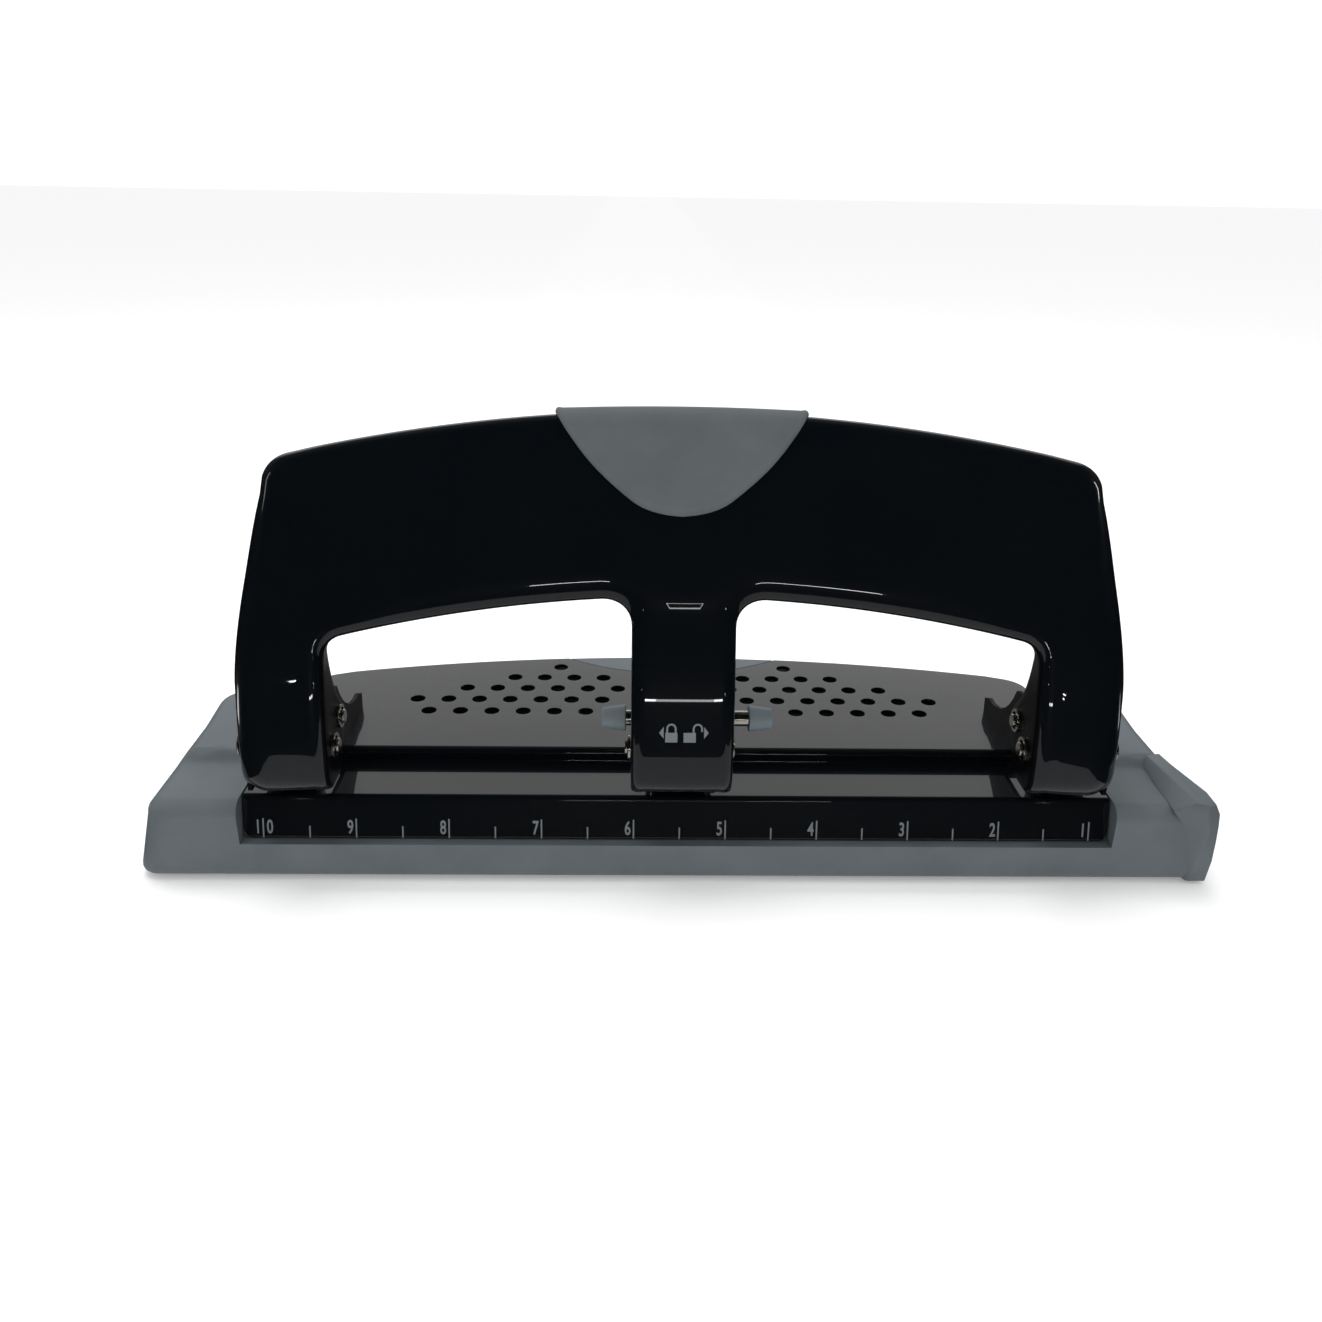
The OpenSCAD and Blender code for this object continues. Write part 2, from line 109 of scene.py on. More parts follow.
def noise(tree, coords, scale, detail=3.0, roughness=0.5):
    """A noise texture in object space; scale is features per metre."""
    node = tree.nodes.new("ShaderNodeTexNoise")
    node.inputs["Scale"].default_value = scale
    node.inputs["Detail"].default_value = detail
    node.inputs["Roughness"].default_value = roughness
    tree.links.new(coords.outputs["Object"], node.inputs["Vector"])
    return node


def remap(tree, value, low, high, start=0.0, end=1.0):
    """A linked map-range node from start..end to low..high."""
    node = tree.nodes.new("ShaderNodeMapRange")
    for socket, number in (("From Min", start), ("From Max", end),
                           ("To Min", low), ("To Max", high)):
        node.inputs[socket].default_value = number
    tree.links.new(value, node.inputs["Value"])
    return node.outputs["Result"]


def tint(tree, value, dark, light):
    """Colour between two tones by a 0 to 1 value."""
    node = tree.nodes.new("ShaderNodeMix")
    node.data_type = "RGBA"
    node.inputs["A"].default_value = (*dark, 1)
    node.inputs["B"].default_value = (*light, 1)
    tree.links.new(value, node.inputs["Factor"])
    return node.outputs["Result"]


def add_bump(tree, shader, heights, distance):
    """Stacks height outputs as bumps, with distances in metres."""
    last = None
    for height, depth in zip(heights, distance):
        node = tree.nodes.new("ShaderNodeBump")
        node.inputs["Strength"].default_value = 1.0
        node.inputs["Distance"].default_value = depth
        tree.links.new(height, node.inputs["Height"])
        if last is not None:
            tree.links.new(last, node.inputs["Normal"])
        last = node.outputs["Normal"]
    tree.links.new(last, shader.inputs["Normal"])


def gloss_black():
    """Stoved black enamel: deep coat, faint orange peel, sheet-metal ripple."""
    mat, tree, shader, coords = new_material("gloss_black", (0.002, 0.0032, 0.0048), 0.3)
    shader.inputs["Coat Weight"].default_value = 1.0
    shader.inputs["Coat Roughness"].default_value = 0.02
    shader.inputs["Coat IOR"].default_value = 1.52
    shader.inputs["Specular IOR Level"].default_value = 0.08
    haze = noise(tree, coords, 38, 4, 0.6)
    tree.links.new(remap(tree, haze.outputs["Fac"], 0.28, 0.34, 0.35, 0.7),
                   shader.inputs["Roughness"])
    tree.links.new(tint(tree, haze.outputs["Fac"], (0.0018, 0.003, 0.0044),
                        (0.0024, 0.0037, 0.0054)), shader.inputs["Base Color"])
    peel = noise(tree, coords, 420, 2)
    ripple = noise(tree, coords, 75, 1)
    add_bump(tree, shader, [ripple.outputs["Fac"], peel.outputs["Fac"]],
             [0.00006, 0.000005])
    return mat


def satin_black():
    """The thinner, duller paint on brackets and on the handle's inner faces."""
    mat, tree, shader, coords = new_material("satin_black", (0.002, 0.0022, 0.003), 0.35)
    shader.inputs["Specular IOR Level"].default_value = 0.07
    haze = noise(tree, coords, 55, 4, 0.6)
    tree.links.new(remap(tree, haze.outputs["Fac"], 0.26, 0.4, 0.35, 0.7),
                   shader.inputs["Roughness"])
    tree.links.new(tint(tree, haze.outputs["Fac"], (0.0016, 0.0018, 0.0026),
                        (0.0026, 0.0028, 0.0036)), shader.inputs["Base Color"])
    peel = noise(tree, coords, 600, 2)
    add_bump(tree, shader, [peel.outputs["Fac"]], [0.00001])
    return mat


def moulded_plastic(name, dark, light, roughness, grain=1900, depth=0.00004):
    """Plastic from a spark-eroded mould: fine even grain, slight mottling."""
    mat, tree, shader, coords = new_material(name, light, roughness)
    mottle = noise(tree, coords, 60, 5, 0.6)
    tree.links.new(tint(tree, remap(tree, mottle.outputs["Fac"], 0, 1, 0.3, 0.7),
                        dark, light), shader.inputs["Base Color"])
    tree.links.new(remap(tree, mottle.outputs["Fac"], roughness - 0.05,
                         roughness + 0.06, 0.3, 0.7), shader.inputs["Roughness"])
    fine = noise(tree, coords, grain, 2, 0.6)
    add_bump(tree, shader, [fine.outputs["Fac"]], [depth])
    return mat


def metal(name, dark, light, roughness, stretch=(1, 1, 1), scale=900):
    """Plated or ground steel with fine marks drawn out along one axis."""
    mat, tree, shader, coords = new_material(name, light, roughness, 1.0)
    mapping = tree.nodes.new("ShaderNodeMapping")
    mapping.inputs["Scale"].default_value = stretch
    tree.links.new(coords.outputs["Object"], mapping.inputs["Vector"])
    marks = noise(tree, coords, scale, 4, 0.65)
    tree.links.new(mapping.outputs["Vector"], marks.inputs["Vector"])
    tree.links.new(tint(tree, marks.outputs["Fac"], dark, light),
                   shader.inputs["Base Color"])
    tree.links.new(remap(tree, marks.outputs["Fac"], roughness * 0.7,
                         roughness * 1.4, 0.3, 0.7), shader.inputs["Roughness"])
    add_bump(tree, shader, [marks.outputs["Fac"]], [0.000004])
    return mat


def printed_ink():
    """Pale grey screen print with a slightly broken density."""
    mat, tree, shader, coords = new_material("printed_ink", (0.17, 0.19, 0.2), 0.5)
    speck = noise(tree, coords, 5200, 2)
    tree.links.new(tint(tree, speck.outputs["Fac"], (0.13, 0.15, 0.16),
                        (0.2, 0.22, 0.23)), shader.inputs["Base Color"])
    return mat


MATS = {
    "black_enamel": gloss_black(),
    "grey_plastic": moulded_plastic("grey_plastic", (0.105, 0.125, 0.137),
                                    (0.13, 0.153, 0.166), 0.48),
    "soft_grip": moulded_plastic("soft_grip", (0.098, 0.112, 0.118),
                                 (0.118, 0.135, 0.142), 0.62, 2600, 0.00003),
    "black_rubber": moulded_plastic("black_rubber", (0.009, 0.009, 0.01),
                                    (0.016, 0.016, 0.017), 0.7),
    "dark_steel": metal("dark_steel", (0.1, 0.1, 0.105), (0.2, 0.2, 0.205), 0.35),
    "bright_steel": metal("bright_steel", (0.42, 0.41, 0.4), (0.6, 0.59, 0.57),
                          0.22, (1, 1, 8)),
    "nickel": metal("nickel", (0.55, 0.52, 0.46), (0.72, 0.69, 0.63), 0.16),
    "knob_plastic": moulded_plastic("knob_plastic", (0.135, 0.17, 0.19),
                                    (0.165, 0.205, 0.225), 0.42),
}
INK = printed_ink()
SATIN = satin_black()


# ---- mesh helpers
class Mesh:
    """Collects points in shelf millimetres and faces, and makes a piece."""

    def __init__(self):
        self.points = []
        self.faces = []

    def add(self, points):
        """Adds points and returns their numbers."""
        first = len(self.points)
        self.points += [tuple(p) for p in points]
        return list(range(first, len(self.points)))

    def bridge(self, rows, closed=False):
        """Quads between neighbouring rows with the same count of points."""
        rows = [self.add(row) for row in rows]
        for a, b in zip(rows, rows[1:]):
            for i in range(len(a) if closed else len(a) - 1):
                j = (i + 1) % len(a)
                self.faces.append((a[i], a[j], b[j], b[i]))
        return rows

    def cap(self, row):
        """One face over a closed row."""
        self.faces.append(tuple(row))

    def sheet(self, verts, faces, lift):
        """Flat triangles, lifted to 3-D by a function of two numbers."""
        ids = self.add([lift(u, v) for u, v in verts])
        self.faces += [tuple(ids[i] for i in face) for face in faces]

    def raw(self, name, weld=0.002, toward=None):
        """The welded object, with normals out of it or toward a direction."""
        data = bpy.data.meshes.new(name)
        data.from_pydata([place(*p) for p in self.points], [], self.faces)
        work = bmesh.new()
        work.from_mesh(data)
        bmesh.ops.remove_doubles(work, verts=work.verts, dist=weld * MM)
        bmesh.ops.dissolve_degenerate(work, edges=work.edges, dist=weld * MM)
        bmesh.ops.recalc_face_normals(work, faces=work.faces)
        if toward is not None:
            lean = sum(f.normal.dot(Vector(toward)) * f.calc_area() for f in work.faces)
            if lean < 0:
                bmesh.ops.reverse_faces(work, faces=work.faces)
        work.to_mesh(data)
        work.free()
        obj = bpy.data.objects.new(name, data)
        bpy.context.scene.collection.objects.link(obj)
        return obj

    def piece(self, name, body, slot, replaces=(), weld=0.002, smooth=35):
        """The welded object, painted and hung on its body."""
        return finish_piece(self.raw(name, weld), body, slot, replaces, smooth)


def shade(obj, smooth):
    """Smooth shading, kept sharp at edges steeper than an angle."""
    for polygon in obj.data.polygons:
        polygon.use_smooth = True
    obj.data.set_sharp_from_angle(angle=math.radians(smooth))


def finish_piece(obj, body, slot, replaces=(), smooth=35, flat=False, paint=None):
    """Smooths, paints and hangs a piece on its body."""
    shade(obj, smooth)
    if flat:
        modify(obj, "WEIGHTED_NORMAL", mode="FACE_AREA", keep_sharp=True)
    obj.data.materials.clear()
    obj.data.materials.append(paint or MATS.get(slot, INK))
    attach(obj, body)
    if replaces:
        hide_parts(*replaces)
    return obj


def modify(obj, kind, **settings):
    """Adds a modifier and applies it at once."""
    mod = obj.modifiers.new(kind.lower(), kind)
    for key, value in settings.items():
        setattr(mod, key, value)
    bpy.context.view_layer.update()
    graph = bpy.context.evaluated_depsgraph_get()
    data = bpy.data.meshes.new_from_object(obj.evaluated_get(graph))
    old, obj.data = obj.data, data
    obj.modifiers.clear()
    bpy.data.meshes.remove(old)
    return obj


def break_edges(obj, width, angle=35, segments=2):
    """Rounds every edge sharper than an angle, by a width in millimetres."""
    return modify(obj, "BEVEL", width=width * MM, segments=segments,
                  limit_method="ANGLE", angle_limit=math.radians(angle),
                  harden_normals=False)


def thicken(obj, thickness, edge):
    """Gives a sheet its thickness behind it, and softened cut edges."""
    modify(obj, "SOLIDIFY", thickness=thickness * MM, offset=-1.0,
           use_even_offset=True)
    return break_edges(obj, edge, 50)


def cut(obj, cutter):
    """Takes one solid away from another and drops the cutter."""
    modify(obj, "BOOLEAN", operation="DIFFERENCE", solver="EXACT", object=cutter)
    data = cutter.data
    bpy.data.objects.remove(cutter)
    bpy.data.meshes.remove(data)
    return obj


def soften(node, body, slot, width, segments=2, smooth=40, paint=None):
    """A node's own solid with its edges broken, standing for the node."""
    data = frame["nodes"][node].data.copy()
    data.name = node + "_soft"
    obj = bpy.data.objects.new(node + "_soft", data)
    bpy.context.scene.collection.objects.link(obj)
    work = bmesh.new()
    work.from_mesh(data)
    bmesh.ops.remove_doubles(work, verts=work.verts, dist=0.002 * MM)
    bmesh.ops.dissolve_limit(work, angle_limit=math.radians(1),
                             verts=work.verts, edges=work.edges)
    work.to_mesh(data)
    work.free()
    break_edges(obj, width, smooth, segments)
    return finish_piece(obj, body, slot, [node], smooth, True, paint)


def prism(name, outline, low, high, axis="z"):
    """A solid from a plan outline (axis z) or a side outline (axis x)."""
    mesh = Mesh()
    if axis == "z":
        rows = [[(a, b, level) for a, b in outline] for level in (low, high)]
    else:
        rows = [[(level, a, b) for a, b in outline] for level in (low, high)]
    first, last = mesh.bridge(rows, closed=True)
    mesh.cap(first)
    mesh.cap(last)
    return mesh.raw(name)


def tube(mesh, path, radius, sides=10):
    """A round wire along a path, with flat ends."""
    path = [Vector(p) for p in path]
    side = Vector((0.3, 0.5, 0.8)).cross(path[1] - path[0]).normalized()
    rows = []
    for i, point in enumerate(path):
        ahead = (path[min(i + 1, len(path) - 1)] - path[max(i - 1, 0)]).normalized()
        side = (side - ahead * side.dot(ahead)).normalized()
        other = ahead.cross(side)
        rows.append([point + (side * math.cos(2 * math.pi * k / sides)
                              + other * math.sin(2 * math.pi * k / sides)) * radius
                     for k in range(sides)])
    rows = mesh.bridge(rows, closed=True)
    mesh.cap(rows[0])
    mesh.cap(rows[-1])


# ---- flat geometry
def arc(cx, cy, r, start, end, steps):
    """Points on an arc, with angles in degrees."""
    angles = [math.radians(start + (end - start) * i / steps)
              for i in range(steps + 1)]
    return [(cx + r * math.cos(a), cy + r * math.sin(a)) for a in angles]


def mirrored(points):
    """The same line on the other side of the middle, run the other way."""
    return [(-x, y) for x, y in reversed(points)]


def span(low, high, step):
    """Evenly spaced numbers from low to high, about a step apart."""
    count = max(1, round(abs(high - low) / step))
    return [low + (high - low) * i / count for i in range(count + 1)]


def smooth_step(value, low, high):
    """0 below low, 1 above high, and an even S curve between."""
    t = min(1, max(0, (value - low) / (high - low)))
    return t * t * (3 - 2 * t)


def inward(points, closed=False):
    """Unit normals on the right-hand side of a line's direction."""
    out = []
    count = len(points)
    for i in range(count):
        a = points[i - 1] if (closed or i > 0) else points[i]
        b = points[(i + 1) % count] if (closed or i < count - 1) else points[i]
        dx, dy = b[0] - a[0], b[1] - a[1]
        size = math.hypot(dx, dy) or 1.0
        out.append((dy / size, -dx / size))
    return out


def curve_through(points, step):
    """A smooth line through points, with samples about a step apart."""
    out = []
    for i in range(len(points) - 1):
        p0 = points[max(i - 1, 0)]
        p1, p2 = points[i], points[i + 1]
        p3 = points[min(i + 2, len(points) - 1)]
        count = max(1, round(math.dist(p1, p2) / step))
        for k in range(count):
            t = k / count
            out.append(tuple(
                0.5 * (2 * b + (c - a) * t + (2 * a - 5 * b + 4 * c - d) * t * t
                       + (3 * b - a - 3 * c + d) * t ** 3)
                for a, b, c, d in zip(p0, p1, p2, p3)))
    return out + [points[-1]]


def inside(point, loop):
    """Whether a point lies in a closed loop."""
    px, py = point
    hit = False
    for (ax, ay), (bx, by) in zip(loop, loop[1:] + loop[:1]):
        if (ay > py) != (by > py) and px < ax + (bx - ax) * (py - ay) / (by - ay):
            hit = not hit
    return hit


def gap_to(point, a, b):
    """Distance from a point to the line between two others."""
    dx, dy = b[0] - a[0], b[1] - a[1]
    t = ((point[0] - a[0]) * dx + (point[1] - a[1]) * dy) / (dx * dx + dy * dy)
    t = min(1, max(0, t))
    return math.hypot(a[0] + t * dx - point[0], a[1] + t * dy - point[1])


CELL = 8


def cells_of(lines):
    """Lines sorted into square cells, each with a margin of one cell."""
    cells = {}
    for line in lines:
        (ax, ay), (bx, by) = line
        for cx in range(int(min(ax, bx) // CELL) - 1, int(max(ax, bx) // CELL) + 2):
            for cy in range(int(min(ay, by) // CELL) - 1,
                            int(max(ay, by) // CELL) + 2):
                cells.setdefault((cx, cy), []).append(line)
    return cells


def fill(loop, xs, ys, gap, holes=()):
    """Triangles inside a loop, less its holes, over a grid of xs by ys."""
    points, edges = [], []
    for ring in (loop, *holes):
        first = len(points)
        points += ring
        edges += [(first + i, first + (i + 1) % len(ring))
                  for i in range(len(ring))]
    cells = cells_of([(points[a], points[b]) for a, b in edges])
    for x in xs:
        for y in ys:
            close = cells.get((int(x // CELL), int(y // CELL)), ())
            if any(gap_to((x, y), a, b) < gap for a, b in close):
                continue
            if inside((x, y), loop) and not any(inside((x, y), h) for h in holes):
                points.append((x, y))
    verts, _, faces, *_ = delaunay_2d_cdt(
        [Vector(p) for p in points], edges, [], 1, 1e-5)
    verts = [(v.x, v.y) for v in verts]
    kept = []
    for face in faces:
        middle = (sum(verts[i][0] for i in face) / len(face),
                  sum(verts[i][1] for i in face) / len(face))
        if inside(middle, loop) and not any(inside(middle, h) for h in holes):
            kept.append(tuple(face))
    return verts, kept


# ---- handle
NOSE_Y, NOSE_Z, FOOT_Z = -7.0, 11.0, 5.5
LEAN, CURL = 0.0341, 0.083
LEAN_FROM, LEAN_TO, LEAN_IN = 34, 83, 8.9
CREST_Z, CREST_R = 102.8, 480.0
RIM_DEPTH = 12.5
WINDOW_TOP, WINDOW_R = 58.0, 385.0
ARCH_R, KNEE_R = 7.5, 6.5
WINDOW_EDGE = 3.0
# satin faces: how squarely they look inward, and metres from the middle
INNER_FACING, LEG_APART = 0.72, 0.05


def web_y(z):
    """Front surface of the handle at a height above the shelf."""
    if z > NOSE_Z:
        return NOSE_Y + LEAN * (z - NOSE_Z) ** 1.5
    return NOSE_Y + CURL * (NOSE_Z - z) ** 2


def front_y(x, z):
    """The same, with the shallow step at the top of the middle leg."""
    drop = 3.2 * (1 - smooth_step(abs(x), 4, 20))
    depth = 0.6 * smooth_step(z, 33, 52) * (1 - smooth_step(z + drop, 57.0, 61.8))
    return web_y(z) + depth * (1 - smooth_step(abs(x), 9, 21))


def crest(x):
    """Height of the handle's top edge."""
    return CREST_Z - x * x / (2 * CREST_R)


def side_x(z):
    """Half width over the outer legs: upright below, leaning in above."""
    share = max(0, z - LEAN_FROM) / (LEAN_TO - LEAN_FROM)
    return HANDLE_HALF - LEAN_IN * share ** 1.5


def window_z(x):
    """Height of the windows' upper edge."""
    return WINDOW_TOP - x * x / (2 * WINDOW_R)


# back edge of the flanges, from the foot up: (height, depth)
BOOT = [(5.5, 4.5), (6.8, 8.0), (10.0, 10.8), (12.8, 13.2), (15.2, 15.2),
        (18.2, 16.4), (20.6, 16.6), (24.0, 14.0), (27.0, 11.0), (30.0, 9.0),
        (34.0, 7.4), (38.0, 6.4), (42.0, 5.8), (46.0, 5.6)]


def flange_y(z):
    """Back edge of the flanges at a height: a boot below, a plain rim above."""
    if z >= BOOT[-1][0]:
        share = min(1.0, (z - BOOT[-1][0]) / 13)
        return BOOT[-1][1] + (web_y(z) + RIM_DEPTH - BOOT[-1][1]) * share
    for (z0, y0), (z1, y1) in zip(BOOT, BOOT[1:]):
        if z <= z1:
            return y0 + (y1 - y0) * max(0, z - z0) / (z1 - z0)
    return BOOT[-1][1]


def foot_wave(x, z):
    """How far the bottom edge of a leg lifts between its lower corners."""
    centre = 0 if abs(x) < 50 else math.copysign((LEG_INNER + HANDLE_HALF) / 2, x)
    lift = 0.8 * math.exp(-((abs(x - centre) - 8.6) / 2.3) ** 2)
    return lift * (1 - smooth_step(z, FOOT_Z, 10))


def outer_line():
    """The handle's outline, from the right foot over the crest to the left."""
    side = [(HANDLE_HALF, z) for z in span(FOOT_Z, 32, 1.6)]
    side += [(side_x(z), z) for z in span(34, 81, 2.2)]
    corner = arc(99.4, 82.8, 9.5, 15, 78, 10)
    top = [(x, crest(x)) for x in span(100.5, 0, 2.6)]
    right = side + corner + top
    return right + [(-x, z) for x, z in reversed(right[:-1])]


def window_line():
    """Right window, from the middle leg's foot over to the outer leg's."""
    arch_x = MID_LEG + ARCH_R
    knee_x = LEG_INNER - KNEE_R
    arch = arc(arch_x, window_z(arch_x) - ARCH_R, ARCH_R, 180, 88, 10)
    knee = arc(knee_x, window_z(knee_x) - KNEE_R - 0.2, KNEE_R, 77, 0, 9)
    up = [(MID_LEG, z) for z in span(FOOT_Z, arch[0][1] - 1.5, 1.7)]
    down = [(LEG_INNER, z) for z in span(knee[-1][1] - 1.5, FOOT_Z, 1.7)]
    over = [(x, window_z(x)) for x in span(24, 85, 2.5)]
    return up + arch + over + knee + down


def edge_radius(x, z, outer):
    """How softly the sheet turns back at a point of its outline."""
    if not outer:
        over = smooth_step(z, 44, 56) * (1 - smooth_step(abs(x), 66, 88))
        return 3.6 + 4.6 * over
    side = 8.0 - 3.8 * smooth_step(z, 58, 84)
    share = smooth_step(abs(x), 92, 106)
    return side * share + 3.2 * (1 - share)


def droop(nz, outer):
    """Fall of a level flange toward the back, as it is square to the web."""
    return 0.42 * max(0, -nz) ** 2 if outer else 0.25 * max(0, nz) ** 2


def flanged_edge(mesh, line, outer, steps=7, depth_steps=6):
    """Rounded edge and flange along a line. Returns the flat part's outline."""
    rows = []
    turned = inward(line)
    for k in range(steps + 1):
        t = math.radians(90 * k / steps)
        row = []
        for (x, z), (nx, nz) in zip(line, turned):
            r = edge_radius(x, z, outer)
            if z <= FOOT_Z + 0.01:
                nx, nz = math.copysign(1.0, nx), 0.0
            shift = r * (1 - math.sin(t))
            px, pz = x + nx * shift, z + nz * shift
            back = (r if outer else min(r, WINDOW_EDGE)) * (1 - math.cos(t))
            row.append((px, front_y(px, pz) + back, pz - droop(nz, outer) * back))
        rows.append(row)
    flat = [(p[0], p[2]) for p in rows[0]]
    last = rows[-1]
    for k in range(1, depth_steps + 1):
        row = []
        for (x, y, z), (_, nz) in zip(last, turned):
            back = max(flange_y(z) - y, 0.4) * k / depth_steps
            row.append((x, y + back, z - droop(nz, outer) * back))
        rows.append(row)
    mesh.bridge(rows)
    return flat


def handle_shell():
    """Pressed steel lever: curled web, soft edges, flanges and boots."""
    mesh = Mesh()
    window = window_line()
    loop = flanged_edge(mesh, outer_line()[::-1], True)
    loop += flanged_edge(mesh, window[::-1], False)
    loop += flanged_edge(mesh, mirrored(window)[::-1], False)
    xs = span(-118, 118, 2.6)
    zs = span(FOOT_Z + 0.9, 12, 1.1) + span(13.5, 30, 2) + span(32.5, 50, 2.2)
    zs += span(51, 64, 1.1) + span(66, 100, 2.2)
    verts, faces = fill(loop, xs, zs, 1.2)
    mesh.sheet(verts, faces, lambda x, z: (x, front_y(x, z), z))
    mesh.points = [(x, y, z + foot_wave(x, z)) for x, y, z in mesh.points]
    shell = mesh.raw("handle_shell", 0.02, (0, -1, 0))
    thicken(shell, HANDLE_T, 0.25)
    finish_piece(shell, "lever", "black_enamel", ["handle"], 60)
    shell.data.materials.append(SATIN)
    for face in shell.data.polygons:
        across = face.normal.x * (1 if face.center.x < 0 else -1)
        if across > INNER_FACING and abs(face.center.x) > LEG_APART:
            face.material_index = 1
    return shell


# ---- soft grip
GRIP_TOP = 102.0
GRIP_HALF = 32.6
GRIP_SHIFT = -1.0
GRIP_CROWN, GRIP_ARCH = 0.35, 0.75
GRIP_CORNER = 3
WEB_TOP = 100.2
# right edge of the shield on the web: (half width, height)
SHIELD = [(0, 77.4), (5.6, 78.1), (11.2, 80.0), (17.1, 84.2), (21.9, 88.3),
          (25.2, 91.7), (27.9, 95.0), (30.2, 98.2), (31.6, 100.6), (GRIP_HALF, 103.0)]
# the bead round the rim: (distance from the edge, how proud)
BEAD = [(0.0, -0.5), (0.03, 0.1), (0.2, 0.45), (0.55, 0.68), (1.0, 0.72),
        (1.4, 0.64), (1.8, 0.56), (2.4, 0.55)]


def grip_path():
    """Side view of the handle under the grip: web, crest, and back edge."""
    path = [(web_y(z), z) for z in span(70, 100.3, 1.0)]
    turn = arc(24.5, GRIP_TOP - 3, 3, 154, 67, 7)
    back = arc(32.7, 96.5, 2, 67, 0, 5)
    return (path + turn[1:] + span_points(turn[-1], back[0], 1.5) + back
            + span_points(back[-1], (34.7, 90.5), 1.5))


def span_points(a, b, step):
    """Points strictly between two points, about a step apart."""
    count = max(1, round(math.dist(a, b) / step))
    return [(a[0] + (b[0] - a[0]) * i / count, a[1] + (b[1] - a[1]) * i / count)
            for i in range(1, count)]


class Profile:
    """A side-view line (Y, Z) that can be looked up by its length."""

    def __init__(self, points):
        self.points = points
        self.at = [0.0]
        for a, b in zip(points, points[1:]):
            self.at.append(self.at[-1] + math.dist(a, b))
        turned = inward(points)
        self.normals = [(-a, -b) for a, b in turned]

    def lookup(self, s):
        """Point and outward normal at a length."""
        i = 0
        while i < len(self.at) - 2 and self.at[i + 1] < s:
            i += 1
        t = (s - self.at[i]) / (self.at[i + 1] - self.at[i])
        mix = [[a + (b - a) * t for a, b in zip(u, v)] for u, v in
               ((self.points[i], self.points[i + 1]),
                (self.normals[i], self.normals[i + 1]))]
        return mix[0], mix[1]

    def length_at(self, z):
        """Length at which the line first reaches a height."""
        for i, (_, b) in enumerate(self.points[1:]):
            if b >= z:
                a = self.points[i][1]
                return self.at[i] + (self.at[i + 1] - self.at[i]) * (z - a) / (b - a)
        return self.at[-1]


def grip_insert():
    """Soft shield on the web that folds over the crest and down behind it."""
    profile = Profile(grip_path())
    shield = [(x, profile.length_at(min(z, WEB_TOP)) + max(0, z - WEB_TOP))
              for x, z in curve_through(SHIELD, 1.3)]
    end = profile.at[-1]
    start = shield[-1][1]
    side = [(GRIP_HALF, s) for s in span(start + 1.2, end - GRIP_CORNER, 1.5)]
    side += arc(GRIP_HALF - GRIP_CORNER, end - GRIP_CORNER, GRIP_CORNER, 0, 90, 6)
    back = [(x, end) for x in span(GRIP_HALF - 4.5, 0, 1.6)]
    right = shield + side + back
    loop = right + [(-x, s) for x, s in reversed(right[1:-1])]
    # inward() looks to the right of the line, and this loop runs leftward
    turned = [(-a, -b) for a, b in inward(loop, closed=True)]

    def lift(x, s, proud):
        (y, z), (ny, nz) = profile.lookup(s)
        arch = GRIP_CROWN - GRIP_ARCH * (x / GRIP_HALF) ** 2
        rise = arch * smooth_step(z, 95, 98.5)
        return x + GRIP_SHIFT, y + ny * proud, z + nz * proud + rise

    mesh = Mesh()
    rings = [[(x + nx * off, s + ns * off) for (x, s), (nx, ns) in
              zip(loop, turned)] for off, _ in BEAD]
    mesh.bridge([[lift(x, s, proud) for x, s in ring]
                 for ring, (_, proud) in zip(rings, BEAD)], closed=True)
    inner = rings[-1]
    verts, faces = fill(inner, span(-30, 30, 2.2), span(8, end - 3, 1.8), 1.0)
    mesh.sheet(verts, faces, lambda x, s: lift(x, s, BEAD[-1][1]))
    return mesh.piece("grip_shield", "lever", "soft_grip", ["grip_insert"], 0.01, 50)


# ---- frame plate
PERF_PITCH, PERF_D, PERF_Y = 9.65, 4.5, 47.6
# rows of holes, front to back: (first hole in pitches from the middle, count)
PERF_ROWS = [(2.87, 6), (2.37, 7), (1.87, 6), (2.37, 4), (3.87, 1)]
TAB_HALF, TAB_FRONT, TAB_DEPTH = 35.0, 76.5, 12.0
TAB_R = (TAB_HALF ** 2 + TAB_DEPTH ** 2) / (2 * TAB_DEPTH)


def back_edge_y(x):
    """Bowed back edge of the deck, which the tray follows."""
    return BACK_Y - BACK_R + math.sqrt(BACK_R ** 2 - x * x)


def scallop_y(x):
    """Edge of the deck where it gives way to the release tab."""
    return TAB_FRONT + TAB_R - math.sqrt(TAB_R ** 2 - x * x)


LIP_R, LIP_CORNER = 1.5, 2.5
LIP_LEAN = math.radians(14.5)


def lip_y(z):
    """Front of the ruler lip, which leans back as it rises."""
    return (z + RULER_H) * math.tan(LIP_LEAN)


def plate_profile():
    """Side view of the bent sheet, from the ruler's foot to the deck."""
    line = [(lip_y(z), z) for z in (-RULER_H, -11.2, -10, -8, -6, -4, -3)]
    centre_y = lip_y(-LIP_R) + LIP_R / math.cos(LIP_LEAN)
    line += arc(centre_y, -LIP_R, LIP_R, 180 - math.degrees(LIP_LEAN), 90, 8)
    line += [(y, 0) for y in span(6, 21, 4)]
    line += arc(STOP_Y - 0.8, 0.8, 0.8, -90, 0, 4)
    line += arc(STOP_Y + 1.7, DECK_Z - 1.7, 1.7, 180, 90, 6)
    return line + [(DECK_FRONT, DECK_Z)]


